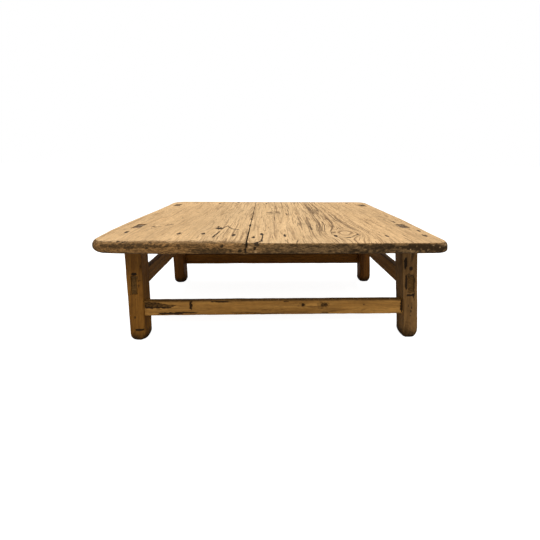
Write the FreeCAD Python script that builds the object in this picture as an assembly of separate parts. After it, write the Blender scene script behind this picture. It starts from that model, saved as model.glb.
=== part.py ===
"""Low plank table: two wide boards on four through-tenoned legs, tied by four stretchers.

Millimetres, +Z up. The origin is on the floor under the middle of the top. -Y is the front.
"""
import FreeCAD, Part
import math
import os

# Top
top_width = 910.0
top_depth = 700.0
top_thickness = 26.0
table_height = 335.0
# The boards taper: the left one is narrower at the rear and the right one at the front
left_board_taper = 10.0
right_board_taper = 14.0
front_left_corner = 60.0
front_right_corner = 45.0
rear_right_corner = 36.0
rear_left_corner = 50.0
upper_arris = 8.0
lower_arris = 6.0

# Joint between the two boards, measured left of the middle at each end
joint_front_offset = 61.0
joint_rear_offset = 64.0
board_pin_diameter = 8.0
board_pin_length = 60.0
board_pin_count = 4

# Legs: each overhang runs from an edge of the top to the middle of a leg
left_overhang = 50.5
right_overhang = 39.0
front_overhang = 186.5
rear_overhang = 107.0
leg_width = 48.0
leg_depth = 54.0
# The legs' outer faces draw in by this much towards the floor
leg_taper = 6.0
leg_edge_wear = 4.0
foot_round = 15.0
# The old frame leans: the feet stand this much further right than the leg tops
frame_rack = 13.5

# Leg tenons, which pass through the top, and the wedges that spread them
leg_tenon_side_shoulder = 13.5
leg_tenon_end_shoulder = 5.0
# The tenons are cut nearer the legs' inner faces
front_tenon_inset = 12.0
rear_tenon_inset = 3.0
leg_wedge_head = 5.0
leg_wedge_tip = 1.2
leg_wedge_length = 20.0

# Front and rear stretchers
long_stretcher_rise = 71.5
long_stretcher_height = 44.0
long_stretcher_thickness = 16.0
long_stretcher_setback = 6.5
long_tenon_shoulder = 4.0
long_tenon_cheek = 3.0

# Side stretchers, a step above the front and rear ones
stretcher_step = 22.0
side_stretcher_height = 52.0
side_stretcher_thickness = 19.0
side_stretcher_setback = 10.0
side_tenon_shoulder = 2.0
# The side tenons are flush with the stretcher's inner face and cut back from its outer one
side_tenon_cheek = 4.0
stretcher_edge_wear = 2.0
side_wedge_head = 5.0
side_wedge_tip = 1.2
side_wedge_length = 22.0

# Battens under the top and the nails driven into them from above
batten_width = 50.0
batten_thickness = 14.0
batten_end_setback = 28.0
# From the front and rear edges of the top to the middle of each batten
front_batten_inset = 90.0
rear_batten_inset = 42.0
batten_edge_wear = 1.5
nail_shank_diameter = 3.6
nail_head_diameter = 8.0
nail_head_thickness = 1.6
nail_point_cover = 5.0
# Nail places, as shares of half the top's width and of half the batten's width
front_nail_shares = ((-0.868, 0.84), (-0.545, 0.28), (-0.40, 0.16), (-0.22, -0.4), (-0.055, -0.04),
                     (0.079, -0.64), (0.376, -0.84), (0.679, -0.8), (0.905, -0.68))
rear_nail_shares = ((-0.734, -0.16), (-0.50, -0.44), (-0.319, 0.84), (-0.031, -0.64), (0.796, 0.16))

# Every through cut runs past its piece by this much
overrun = 10.0
plane_tolerance = 0.01

# Places that follow from the sizes above
half_width = top_width / 2
half_depth = top_depth / 2
underside = table_height - top_thickness
leg_tops_x = {"left": left_overhang - half_width, "right": half_width - right_overhang}
legs_y = {"front": front_overhang - half_depth, "rear": half_depth - rear_overhang}
outward_x = {"left": -1, "right": 1}
outward_y = {"front": -1, "rear": 1}
tenon_insets = {"front": front_tenon_inset, "rear": rear_tenon_inset}
batten_insets = {"front": front_batten_inset, "rear": rear_batten_inset}
leg_tenon_width = leg_width - 2 * leg_tenon_side_shoulder
leg_tenon_depth = leg_depth - 2 * leg_tenon_end_shoulder
long_stretcher_top = long_stretcher_rise + long_stretcher_height
long_stretcher_middle = long_stretcher_rise + long_stretcher_height / 2
long_tenon_height = long_stretcher_height - 2 * long_tenon_shoulder
long_tenon_thickness = long_stretcher_thickness - 2 * long_tenon_cheek
side_stretcher_rise = long_stretcher_top + stretcher_step
side_stretcher_middle = side_stretcher_rise + side_stretcher_height / 2
side_tenon_height = side_stretcher_height - 2 * side_tenon_shoulder
side_tenon_thickness = side_stretcher_thickness - side_tenon_cheek
side_tenon_top = side_stretcher_middle + side_tenon_height / 2
nail_length = top_thickness + batten_thickness - nail_point_cover


def vec(x, y, z):
    return FreeCAD.Vector(x, y, z)


def block(low, high):
    """Box between two opposite corners."""
    size = high - low
    return Part.makeBox(size.x, size.y, size.z, low)


def prism(points, along):
    """Straight-sided solid with the given outline, extruded along a vector."""
    return Part.Face(Part.makePolygon(points + points[:1])).extrude(along)


def rounded_wire(corners, radii):
    """Closed outline with a radius at each corner."""
    arcs = []
    for index, radius in enumerate(radii):
        corner = corners[index]
        back = corners[index - 1] - corner
        onward = corners[(index + 1) % len(corners)] - corner
        half_angle = back.getAngle(onward) / 2
        back.normalize()
        onward.normalize()
        inward = back + onward
        inward.normalize()
        reach = radius / math.tan(half_angle)
        bow = radius / math.sin(half_angle) - radius
        arcs.append(Part.Arc(corner + back * reach, corner + inward * bow, corner + onward * reach))
    edges = []
    for arc, following in zip(arcs, arcs[1:] + arcs[:1]):
        edges.append(arc.toShape())
        edges.append(Part.LineSegment(arc.EndPoint, following.StartPoint).toShape())
    return Part.Wire(edges)


def rim_edges(solid, height):
    """Edges that lie flat at one height."""
    def flat(edge):
        box = edge.BoundBox
        return abs(box.ZMin - height) < plane_tolerance and abs(box.ZMax - height) < plane_tolerance
    return [edge for edge in solid.Edges if flat(edge)]


def edges_along(solid, axis):
    """Straight edges that run along an axis."""
    chosen = []
    for edge in solid.Edges:
        run = edge.Vertexes[-1].Point - edge.Vertexes[0].Point
        if run.Length > plane_tolerance and run.cross(axis).Length < plane_tolerance:
            chosen.append(edge)
    return chosen


def leg_inner_x(side, height):
    """Inner face of a leg at a height: the whole frame leans to one side."""
    lean = frame_rack * (underside - height) / underside
    return leg_tops_x[side] - outward_x[side] * leg_width / 2 + lean


def leg_width_at(height):
    """Width of a leg at a height."""
    return leg_width - leg_taper * (underside - height) / underside


def leg_outer_x(side, height):
    """Outer face of a leg at a height."""
    return leg_inner_x(side, height) + outward_x[side] * leg_width_at(height)


def leg_middle_x(side, height):
    """Middle of a leg at a height."""
    return leg_inner_x(side, height) + outward_x[side] * leg_width_at(height) / 2


def whole_top():
    """The slab before it is split into boards, with its worn arrises."""
    radii = (front_left_corner, front_right_corner, rear_right_corner, rear_left_corner)
    corners = (vec(-half_width, -half_depth, underside),
               vec(half_width - right_board_taper, -half_depth, underside),
               vec(half_width, half_depth, underside),
               vec(left_board_taper - half_width, half_depth, underside))
    slab = Part.Face(rounded_wire(corners, radii)).extrude(vec(0, 0, top_thickness))
    slab = slab.makeFillet(upper_arris, rim_edges(slab, table_height))
    return slab.makeFillet(lower_arris, rim_edges(slab, underside))


def joint_x(y):
    """The board joint runs slightly out of square."""
    along_share = (y + half_depth) / top_depth
    return -joint_front_offset + (joint_front_offset - joint_rear_offset) * along_share


def left_of_joint():
    """Space to the left of the board joint."""
    front = -half_depth - overrun
    rear = half_depth + overrun
    left = -half_width - overrun
    floor = underside - overrun
    outline = [vec(left, front, floor), vec(joint_x(front), front, floor),
               vec(joint_x(rear), rear, floor), vec(left, rear, floor)]
    return prism(outline, vec(0, 0, top_thickness + 2 * overrun))


def round_ended(centre, half_run, along):
    """Slab as tall as the foot, with its lower ends rounded, as thick as the vector along."""
    bow = foot_round * (1 - math.sqrt(0.5))
    out = half_run / half_run.Length
    up = vec(0, 0, 1)
    near = centre - half_run
    far = centre + half_run
    first = Part.Arc(near + up * foot_round, near + (out + up) * bow, near + out * foot_round)
    last = Part.Arc(far - out * foot_round, far + (up - out) * bow, far + up * foot_round)
    floor_line = Part.LineSegment(first.EndPoint, last.StartPoint)
    upper_line = Part.LineSegment(last.EndPoint, first.StartPoint)
    edges = [curve.toShape() for curve in (first, floor_line, last, upper_line)]
    return Part.Face(Part.Wire(edges)).extrude(along)


def leg_shaft(side, end):
    """Leaning, tapered leg above the rounded foot, with worn edges."""
    front = legs_y[end] - leg_depth / 2
    outline = [vec(leg_inner_x(side, foot_round), front, foot_round),
               vec(leg_outer_x(side, foot_round), front, foot_round),
               vec(leg_outer_x(side, underside), front, underside),
               vec(leg_inner_x(side, underside), front, underside)]
    shaft = prism(outline, vec(0, leg_depth, 0))
    uprights = [edge for edge in shaft.Edges if edge.BoundBox.ZLength > plane_tolerance]
    return shaft.makeFillet(leg_edge_wear, uprights)


def leg_blank(side, end):
    """Leg from the floor to the underside of the top, with a rounded foot."""
    shaft = leg_shaft(side, end)
    half_x = vec(leg_width_at(foot_round) / 2, 0, 0)
    half_y = vec(0, leg_depth / 2, 0)
    foot = vec(leg_middle_x(side, foot_round), legs_y[end], 0)
    across = round_ended(foot - half_y, half_x, half_y * 2)
    along = round_ended(foot - half_x, half_y, half_x * 2)
    lower_ends = [face for face in shaft.Faces if face.CenterOfMass.z < foot_round + plane_tolerance]
    tread = lower_ends[0].extrude(vec(0, 0, -foot_round)).common(across).common(along)
    return tread.fuse(shaft).removeSplitter()


def leg_tenon_x(side, end):
    """Middle of a leg's tenon in the top."""
    return leg_tops_x[side] - outward_x[side] * tenon_insets[end]


def leg_tenon(side, end):
    """Upright tenon through the top."""
    half = vec(leg_tenon_width / 2, leg_tenon_depth / 2, 0)
    base = vec(leg_tenon_x(side, end), legs_y[end], underside)
    return block(base - half, base + half + vec(0, 0, top_thickness))


def leg_wedge(side, end):
    """Wedge across the leg tenon, driven down from the top face."""
    left = leg_tenon_x(side, end) - leg_tenon_width / 2
    middle = legs_y[end]
    tip = table_height - leg_wedge_length
    outline = [vec(left, middle - leg_wedge_tip / 2, tip), vec(left, middle + leg_wedge_tip / 2, tip),
               vec(left, middle + leg_wedge_head / 2, table_height),
               vec(left, middle - leg_wedge_head / 2, table_height)]
    return prism(outline, vec(leg_tenon_width, 0, 0))


def side_wedge(side, end):
    """Wedge above a side stretcher's tenon, driven in from the leg's outer face."""
    face = legs_y[end] + outward_y[end] * leg_depth / 2
    inner = face - outward_y[end] * side_wedge_length
    left = side_tenon_middle(side) - side_tenon_thickness / 2
    outline = [vec(left, face, side_tenon_top), vec(left, inner, side_tenon_top),
               vec(left, inner, side_tenon_top + side_wedge_tip),
               vec(left, face, side_tenon_top + side_wedge_head)]
    return prism(outline, vec(side_tenon_thickness, 0, 0))


def side_tenon_middle(side):
    """Middle of a side stretcher's tenon across its thickness."""
    inner = side_stretcher_setback + side_stretcher_thickness
    return leg_outer_x(side, side_stretcher_middle) - outward_x[side] * (inner - side_tenon_thickness / 2)


def jointed(rail, tenon, blanks):
    """A rail shouldered against two legs, with its tenons running through them to the outer faces."""
    shoulders = rail.cut(blanks)
    tenons = tenon.common(Part.makeCompound(blanks))
    return shoulders.fuse(tenons).removeSplitter()


def long_stretcher(end, blanks):
    """Front or rear stretcher, set near the legs' outer faces."""
    outer = legs_y[end] + outward_y[end] * (leg_depth / 2 - long_stretcher_setback)
    middle = vec(0, outer - outward_y[end] * long_stretcher_thickness / 2, long_stretcher_middle)
    left = leg_middle_x("left", middle.z)
    right = leg_middle_x("right", middle.z)
    half = vec(0, long_stretcher_thickness / 2, long_stretcher_height / 2)
    rail = block(middle - half + vec(left, 0, 0), middle + half + vec(right, 0, 0))
    rail = rail.makeFillet(stretcher_edge_wear, edges_along(rail, vec(1, 0, 0)))
    half = vec(0, long_tenon_thickness / 2, long_tenon_height / 2)
    reach = vec(leg_width, 0, 0)
    tenon = block(middle - half + vec(left, 0, 0) - reach, middle + half + vec(right, 0, 0) + reach)
    return jointed(rail, tenon, blanks)


def side_stretcher(side, blanks):
    """Left or right stretcher, whose tenon ends show on the legs' front and rear faces."""
    middle = vec(side_tenon_middle(side), 0, side_stretcher_middle)
    front = vec(0, legs_y["front"], 0)
    rear = vec(0, legs_y["rear"], 0)
    half = vec(side_stretcher_thickness / 2, 0, side_stretcher_height / 2)
    rail_middle = middle + vec(outward_x[side] * side_tenon_cheek / 2, 0, 0)
    rail = block(rail_middle - half + front, rail_middle + half + rear)
    rail = rail.makeFillet(stretcher_edge_wear, edges_along(rail, vec(0, 1, 0)))
    half = vec(side_tenon_thickness / 2, 0, side_tenon_height / 2)
    reach = vec(0, leg_depth, 0)
    tenon = block(middle - half + front - reach, middle + half + rear + reach)
    return jointed(rail, tenon, blanks)


def batten_middle(end):
    """Middle of a batten across its width."""
    return outward_y[end] * (half_depth - batten_insets[end])


def batten(end):
    """Strip under the top that ties the two boards."""
    half = vec(half_width - batten_end_setback, batten_width / 2, 0)
    middle = vec(0, batten_middle(end), underside)
    strip = block(middle - half - vec(0, 0, batten_thickness), middle + half)
    return strip.makeFillet(batten_edge_wear, rim_edges(strip, underside - batten_thickness))


def nails(end, shares):
    """Forged nails through the top into a batten, their heads flush with the top face."""
    down = vec(0, 0, -1)
    made = []
    for across_share, along_share in shares:
        y = batten_middle(end) + along_share * batten_width / 2
        head_top = vec(across_share * half_width, y, table_height)
        head = Part.makeCylinder(nail_head_diameter / 2, nail_head_thickness, head_top, down)
        shank = Part.makeCylinder(nail_shank_diameter / 2, nail_length, head_top, down)
        made.append(head.fuse(shank).removeSplitter())
    return made


def board_pins():
    """Hidden pins across the board joint, between the two battens."""
    first = batten_middle("front")
    pitch = (batten_middle("rear") - first) / board_pin_count
    height = table_height - top_thickness / 2
    made = []
    for index in range(board_pin_count):
        y = first + pitch * (index + 0.5)
        start = vec(joint_x(y) - board_pin_length / 2, y, height)
        made.append(Part.makeCylinder(board_pin_diameter / 2, board_pin_length, start, vec(1, 0, 0)))
    return made


def build():
    """Every piece of the table by node name."""
    corners = [(side, end) for end in ("front", "rear") for side in ("left", "right")]
    blanks = {corner: leg_blank(*corner) for corner in corners}
    nodes = {}
    for end in ("front", "rear"):
        pair = [blanks["left", end], blanks["right", end]]
        nodes[end + "_stretcher"] = long_stretcher(end, pair)
    for side in ("left", "right"):
        pair = [blanks[side, "front"], blanks[side, "rear"]]
        nodes[side + "_stretcher"] = side_stretcher(side, pair)
    stretchers = list(nodes.values())
    tenons = []
    for side, end in corners:
        top_wedge = leg_wedge(side, end)
        tenon_wedge = side_wedge(side, end)
        tenon = leg_tenon(side, end)
        tenons.append(tenon)
        leg = blanks[side, end].fuse(tenon).removeSplitter()
        place = "_" + end + "_" + side
        nodes["leg" + place] = leg.cut(stretchers + [top_wedge, tenon_wedge])
        nodes["leg_wedge" + place] = top_wedge
        nodes["stretcher_wedge" + place] = tenon_wedge
    front_nails = nails("front", front_nail_shares)
    rear_nails = nails("rear", rear_nail_shares)
    pins = board_pins()
    nodes["front_batten"] = batten("front").cut(front_nails)
    nodes["rear_batten"] = batten("rear").cut(rear_nails)
    nodes["front_batten_nails"] = Part.makeCompound(front_nails)
    nodes["rear_batten_nails"] = Part.makeCompound(rear_nails)
    nodes["board_pins"] = Part.makeCompound(pins)
    slab = whole_top().cut(tenons + front_nails + rear_nails + pins)
    nodes["top_board_left"] = slab.common(left_of_joint())
    nodes["top_board_right"] = slab.cut(left_of_joint())
    return nodes


os.makedirs("parts", exist_ok=True)
for node, shape in build().items():
    shape.exportStep("parts/" + node + ".step")
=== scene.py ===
"""Looks of the low plank table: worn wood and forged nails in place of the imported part's plain solids.

Sizes here are millimetres in the part's own frame; meshes are turned into metres as they are made.
"""
import math

import bpy
import numpy as np
from mathutils import Matrix, Vector


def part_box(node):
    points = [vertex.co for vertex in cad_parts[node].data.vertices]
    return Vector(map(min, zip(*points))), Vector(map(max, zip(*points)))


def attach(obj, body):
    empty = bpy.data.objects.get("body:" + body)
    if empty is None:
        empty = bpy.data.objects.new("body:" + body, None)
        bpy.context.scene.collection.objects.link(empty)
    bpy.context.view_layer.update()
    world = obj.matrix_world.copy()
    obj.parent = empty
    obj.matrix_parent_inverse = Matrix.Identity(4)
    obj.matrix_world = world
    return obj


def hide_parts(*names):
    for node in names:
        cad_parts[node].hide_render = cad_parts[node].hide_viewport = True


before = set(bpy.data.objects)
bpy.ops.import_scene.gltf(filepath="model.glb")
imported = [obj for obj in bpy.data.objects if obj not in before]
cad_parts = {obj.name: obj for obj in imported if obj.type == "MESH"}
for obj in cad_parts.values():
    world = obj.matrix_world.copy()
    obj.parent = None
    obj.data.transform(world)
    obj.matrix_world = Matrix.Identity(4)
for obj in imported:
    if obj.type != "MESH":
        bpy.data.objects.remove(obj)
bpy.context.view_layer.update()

METRE = 1000.0

# Sizes of the pieces and the fits between them
LEG_WIDTH = 48.0
LEG_TAPER = 6.0
LEG_DEPTH = 54.0
LEG_TENON_DEPTH = 44.0
LONG_TENON_CHEEK = 3.0
LONG_TENON_SHOULDER = 4.0
SIDE_TENON_SHOULDER = 2.0
TOP_MORTISE_GAP = 1.2
LONG_MORTISE_GAP = 0.6
SIDE_MORTISE_GAP = 1.5
TENON_RECESS = 0.9
TOP_TENON_RECESS = 1.6

# Corners of each board in plan, anticlockwise from the front left: reach along the width and the depth
BOARD_CORNERS = {"left": ((62.0, 62.0), 0, 0, (50.0, 50.0)), "right": (0, (38.0, 40.0), (36.0, 36.0), 0)}
# How far round a mortise the boards' taper and bow fade out
MORTISE_REACH = 34.0
# How far each board's outer edge slants over its length
LEFT_TAPER = 10.0
RIGHT_TAPER = 14.0

# Grid steps, lines near a board's edges, rings round an edge and up a board's side
BOARD_STEP_ACROSS = 1.9
BOARD_STEP_ALONG = 5.2
BAR_STEP_ROUND = 2.2
BAR_STEP_ALONG = 3.0
EDGE_LINES = (1.0, 2.5, 4.5, 7.0, 10.0, 14.0)
ARC_STEPS = 5
SIDE_RINGS = 4
DRAW_IN_REACH = 30.0
SHARP_ANGLE = math.radians(40)


def box_mm(node):
    low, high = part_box(node)
    return np.array(low) * METRE, np.array(high) * METRE


# Noise and soft shapes

def lattice(cell, seed):
    """A repeatable number from 0 to 1 for each whole-numbered cell."""
    mixed = cell[..., 0] * 374761393 + cell[..., 1] * 668265263 + cell[..., 2] * 69069069 + seed * 1442695
    mixed = (mixed ^ (mixed >> 13)) * 1274126177
    mixed = mixed ^ (mixed >> 16)
    return (mixed & 0xFFFF) / 0xFFFF


def noise(points, waves, seed):
    """Smooth noise from -1 to 1, with waves of the given lengths along the three axes."""
    place = points / np.asarray(waves, float)
    cell = np.floor(place).astype(np.int64)
    part = place - cell
    part = part * part * (3 - 2 * part)
    total = 0
    for corner in np.ndindex(2, 2, 2):
        weight = np.prod(np.where(corner, part, 1 - part), axis=-1)
        total = total + weight * lattice(cell + np.array(corner), seed)
    return 2 * total - 1


def rough(points, waves, seed):
    """Noise with a finer layer on top."""
    waves = np.asarray(waves, float)
    return (noise(points, waves, seed) + 0.5 * noise(points, waves / 2.3, seed + 1)) / 1.5


def shaken(points, wave, seed):
    """Three layers of noise, one for each axis."""
    return np.stack([rough(points, (wave, wave, wave), seed + axis) for axis in range(3)], -1)


def smooth(value, low, high):
    share = np.clip((value - low) / (high - low), 0, 1)
    return share * share * (3 - 2 * share)


def stroke(a, b, path, half_width):
    """1 along a broken line, falling to 0 at half its width."""
    nearest = np.full(a.shape, np.inf)
    for (a0, b0), (a1, b1) in zip(path, path[1:]):
        run_a, run_b = a1 - a0, b1 - b0
        share = np.clip(((a - a0) * run_a + (b - b0) * run_b) / (run_a ** 2 + run_b ** 2), 0, 1)
        nearest = np.minimum(nearest, np.hypot(a - a0 - share * run_a, b - b0 - share * run_b))
    return 1 - smooth(nearest / half_width, 0.3, 1)


def blot(a, b, middle, radii, ragged):
    """1 inside an ellipse whose rim is broken up by noise."""
    away = np.hypot((a - middle[0]) / radii[0], (b - middle[1]) / radii[1])
    return 1 - smooth(away + 0.55 * ragged, 0.72, 0.98)


def rectangle(a, b, low, high, soft):
    """1 inside a rectangle, falling to 0 within a soft rim outside it."""
    out_a = np.maximum(low[0] - a, a - high[0])
    out_b = np.maximum(low[1] - b, b - high[1])
    return 1 - smooth(np.maximum(out_a, out_b), 0, soft)


# Skins: closed meshes through rounded rectangles

def lines(low, high, step, exact=(), edges=()):
    """Grid lines from low to high as shares, closer near the ends, with some moved onto exact places."""
    count = max(round((high - low) / step), 2)
    found = np.linspace(low, high, count + 1)
    if edges:
        inside = np.minimum(found - low, high - found) > max(edges) + step / 2
        near = [low + edge for edge in edges] + [high - edge for edge in edges]
        found = np.sort(np.concatenate([[low, high], found[inside], near]))
    for value in exact:
        found[np.abs(found - value).argmin()] = value
    return (found - low) / (high - low)


def index_of(shares, low, high, value):
    """The grid line nearest to a place."""
    return int(np.abs(low + shares * (high - low) - value).argmin())


def section(u, v, rect, radii, inset=0.0):
    """Places on a rounded rectangle that is drawn in by the inset near its edges."""
    u0, u1, v0, v1 = rect

    def drawn(share, low, high):
        reach = min(DRAW_IN_REACH, (high - low) / 2)
        first = share * (high - low)
        last = (high - low) - first
        near = inset + first * (reach - inset) / reach
        far = (high - low) - inset - last * (reach - inset) / reach
        return low + np.where(first < reach, near, np.where(last < reach, far, first))

    x, y = drawn(u, u0, u1), drawn(v, v0, v1)
    corners = ((u0, v0, 1, 1), (u1, v0, -1, 1), (u1, v1, -1, -1), (u0, v1, 1, -1))
    for (corner_x, corner_y, in_x, in_y), radius in zip(corners, radii):
        if not radius:
            continue
        reach_x, reach_y = radius if isinstance(radius, tuple) else (radius, radius)
        left_x = np.maximum(reach_x - inset, reach_x * 0.1)
        left_y = np.maximum(reach_y - inset, reach_y * 0.1)
        a = np.clip(1 - in_x * (x - corner_x - in_x * inset) / left_x, 0, 1)
        b = np.clip(1 - in_y * (y - corner_y - in_y * inset) / left_y, 0, 1)
        held = (a > 0) & (b > 0)
        turned_a = left_x * (1 - a * np.sqrt(1 - b * b / 2))
        turned_b = left_y * (1 - b * np.sqrt(1 - a * a / 2))
        x = np.where(held, corner_x + in_x * (inset + turned_a), x)
        y = np.where(held, corner_y + in_y * (inset + turned_b), y)
    return x, y


def level(rect, radii, height):
    """A flat ring at one height."""
    def place(u, v):
        x, y = section(u, v, rect, radii)
        return np.stack([x, y, np.full(u.shape, height)], -1)
    return place


def turned(rect, radii, height, rise, radius, angle):
    """A ring part of the way round an edge that turns from the side to an end face."""
    def place(u, v):
        x, y = section(u, v, rect, radii)
        size = radius(x, y)
        x, y = section(u, v, rect, radii, size * (1 - math.cos(angle)))
        return np.stack([x, y, height - rise * size * (1 - math.sin(angle))], -1)
    return place


def edge_rings(rect, radii, height, rise, radius):
    """Rings round a worn edge, from the side to the end face."""
    angles = np.linspace(0, math.pi / 2, ARC_STEPS + 1)
    return [turned(rect, radii, height, rise, radius, angle) for angle in angles]


def side_rings(rect, radii, heights, radius_pair, count):
    """Rings up a side between its two worn edges."""
    def between(share):
        def place(u, v):
            x, y = section(u, v, rect, radii)
            low = heights[0] + radius_pair[0](x, y)
            high = heights[1] - radius_pair[1](x, y)
            return np.stack([x, y, low + share * (high - low)], -1)
        return place
    return [between(share) for share in np.linspace(0, 1, count + 2)[1:-1]]


def rim_of(nu, nv):
    """Grid places round the rim, anticlockwise."""
    front = [(i, 0) for i in range(nu)]
    right = [(nu - 1, j) for j in range(1, nv)]
    rear = [(i, nv - 1) for i in range(nu - 2, -1, -1)]
    left = [(0, j) for j in range(nv - 2, 0, -1)]
    return np.array(front + right + rear + left)


def hole_walls(near, far, span):
    """Faces between two grids of points, round the rim of a hole."""
    i0, i1, j0, j1 = span
    loop = [(i, j0) for i in range(i0, i1)] + [(i1, j) for j in range(j0, j1)]
    loop += [(i, j1) for i in range(i1, i0, -1)] + [(i0, j) for j in range(j1, j0, -1)]
    here = tuple(np.array(loop).T)
    there = tuple(np.roll(loop, -1, axis=0).T)
    return np.stack([near[here], near[there], far[there], far[here]], -1)


def loft(u, v, rings, holes=()):
    """Points and faces of a closed skin through the rings, with holes right through between two faces."""
    nu, nv, count = len(u), len(v), len(rings)
    rim = rim_of(nu, nv)
    inner = np.argwhere(np.ones((nu - 2, nv - 2))) + 1
    parts = [ring(u[rim[:, 0]], v[rim[:, 1]]) for ring in rings]
    parts += [ring(u[inner[:, 0]], v[inner[:, 1]]) for ring in (rings[0], rings[-1])]
    around = len(rim)
    base = np.arange(count) * around
    of_rim = np.zeros((nu, nv), int)
    of_rim[rim[:, 0], rim[:, 1]] = np.arange(around)

    def cap(first_rim, first_inner):
        grid = of_rim + first_rim
        grid[inner[:, 0], inner[:, 1]] = first_inner + np.arange(len(inner))
        return grid

    grids = {"low": cap(0, count * around),
             "high": cap(base[-1], count * around + len(inner)),
             "front": of_rim[:, 0][:, None] + base, "rear": of_rim[:, -1][:, None] + base,
             "left": of_rim[0, :][:, None] + base, "right": of_rim[-1, :][:, None] + base}
    faces = []
    for name, grid in grids.items():
        kept = np.ones((grid.shape[0] - 1, grid.shape[1] - 1), bool)
        for near, far, (i0, i1, j0, j1) in holes:
            if name in (near, far):
                kept[i0:i1, j0:j1] = False
        quads = np.stack([grid[:-1, :-1], grid[1:, :-1], grid[1:, 1:], grid[:-1, 1:]], -1)[kept]
        faces.append(quads[:, ::-1] if name in ("low", "rear", "left") else quads)
    faces += [hole_walls(grids[near], grids[far], span) for near, far, span in holes]
    return np.concatenate(parts), np.concatenate(faces)


def normals_of(points, faces):
    corners = points[faces]
    across = np.cross(corners[:, 2] - corners[:, 0], corners[:, 3] - corners[:, 1])
    total = np.zeros(points.shape)
    for corner in range(4):
        np.add.at(total, faces[:, corner], across)
    return total / np.maximum(np.linalg.norm(total, axis=1, keepdims=True), 1e-9)


def add(name, data):
    """A new object in the scene."""
    thing = bpy.data.objects.new(name, data)
    bpy.context.scene.collection.objects.link(thing)
    return thing


def make_piece(name, node, slot, points, faces, fields):
    """A mesh piece in place of a node of the part, with what its material reads kept on its points."""
    mesh = bpy.data.meshes.new(name)
    mesh.from_pydata((points / METRE).tolist(), [], faces.tolist())
    mesh.polygons.foreach_set("use_smooth", np.ones(len(mesh.polygons), bool))
    for field, values in fields.items():
        kind, key = ("FLOAT_VECTOR", "vector") if values.ndim == 2 else ("FLOAT", "value")
        mesh.attributes.new(field, kind, "POINT").data.foreach_set(key, values.astype(np.float32).ravel())
    mesh.materials.append(MATERIALS[slot])
    mesh.update()
    mesh.set_sharp_from_angle(angle=SHARP_ANGLE)
    piece = add(name, mesh)
    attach(piece, "root")
    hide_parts(node)


# Materials

def tree_of(name):
    material = bpy.data.materials.new(name)
    material.use_nodes = True
    return material, material.node_tree, material.node_tree.nodes["Principled BSDF"]


def feed(tree, value, socket):
    """Links a socket to an input, or sets the input to a constant number or colour."""
    if isinstance(value, bpy.types.NodeSocket):
        tree.links.new(value, socket)
    else:
        socket.default_value = (*value, 1) if isinstance(value, tuple) else value


def attribute(tree, name, output="Fac"):
    node = tree.nodes.new("ShaderNodeAttribute")
    node.attribute_name = name
    return node.outputs[output]


def texture(tree, vector, scale, detail, roughness, distortion=0.0):
    """Noise from 0 to 1 over scaled coordinates."""
    scaled = tree.nodes.new("ShaderNodeVectorMath")
    scaled.operation = "MULTIPLY"
    scaled.inputs[1].default_value = scale
    tree.links.new(vector, scaled.inputs[0])
    node = tree.nodes.new("ShaderNodeTexNoise")
    node.inputs["Scale"].default_value = 1.0
    node.inputs["Detail"].default_value = detail
    node.inputs["Roughness"].default_value = roughness
    node.inputs["Distortion"].default_value = distortion
    tree.links.new(scaled.outputs[0], node.inputs["Vector"])
    return node.outputs["Fac"]


def ramp(tree, value, stops):
    node = tree.nodes.new("ShaderNodeValToRGB")
    points = node.color_ramp.elements
    while len(points) < len(stops):
        points.new(0.5)
    for point, (place, colour) in zip(points, stops):
        point.position = place
        point.color = (*colour, 1) if isinstance(colour, tuple) else (colour, colour, colour, 1)
    tree.links.new(value, node.inputs["Fac"])
    return node.outputs["Color"]


def blend(tree, mode, factor, first, second):
    """Mix of two colours; the factor and the colours may be sockets or constants."""
    node = tree.nodes.new("ShaderNodeMix")
    node.data_type = "RGBA"
    node.blend_type = mode
    for value, place in ((factor, 0), (first, 6), (second, 7)):
        feed(tree, value, node.inputs[place])
    return node.outputs[2]


def arithmetic(tree, operation, *values, clamp=False):
    node = tree.nodes.new("ShaderNodeMath")
    node.operation = operation
    node.use_clamp = clamp
    for value, socket in zip(values, node.inputs):
        feed(tree, value, socket)
    return node.outputs[0]


def bump(tree, shader, height, strength, distance):
    node = tree.nodes.new("ShaderNodeBump")
    node.inputs["Strength"].default_value = strength
    node.inputs["Distance"].default_value = distance
    tree.links.new(height, node.inputs["Height"])
    tree.links.new(node.outputs["Normal"], shader.inputs["Normal"])


def stretched(tree, value, centre, gain):
    """A number from 0 to 1 that crosses one half at the centre."""
    moved = arithmetic(tree, "SUBTRACT", value, centre - 0.5 / gain)
    return arithmetic(tree, "MULTIPLY", moved, gain, clamp=True)


def weighted(tree, first, weight, second):
    """First plus the second times its weight."""
    return arithmetic(tree, "ADD", first, arithmetic(tree, "MULTIPLY", second, weight))


END_ROUGHNESS = 0.97
RING_FOLDS = 11.0
# Textures of the woods: scale across, along and across the grain, detail, roughness, distortion
WOOD_TEXTURES = {
    "figure": ((62, 4.5, 62), 3, 0.6, 0.6), "rings": ((22, 0.8, 22), 2, 0.5, 0.3),
    "broad": ((85, 3.2, 85), 3, 0.62), "fine": ((155, 3.6, 155), 4, 0.64),
    "dashes": ((270, 20, 270), 3, 0.55), "mottle": ((17, 6, 17), 4, 0.62),
    "pores": ((210, 62, 210), 2, 0.6), "speckle": ((240, 150, 240), 3, 0.6),
    "ends": ((130, 130, 430), 5, 0.75)}


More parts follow.
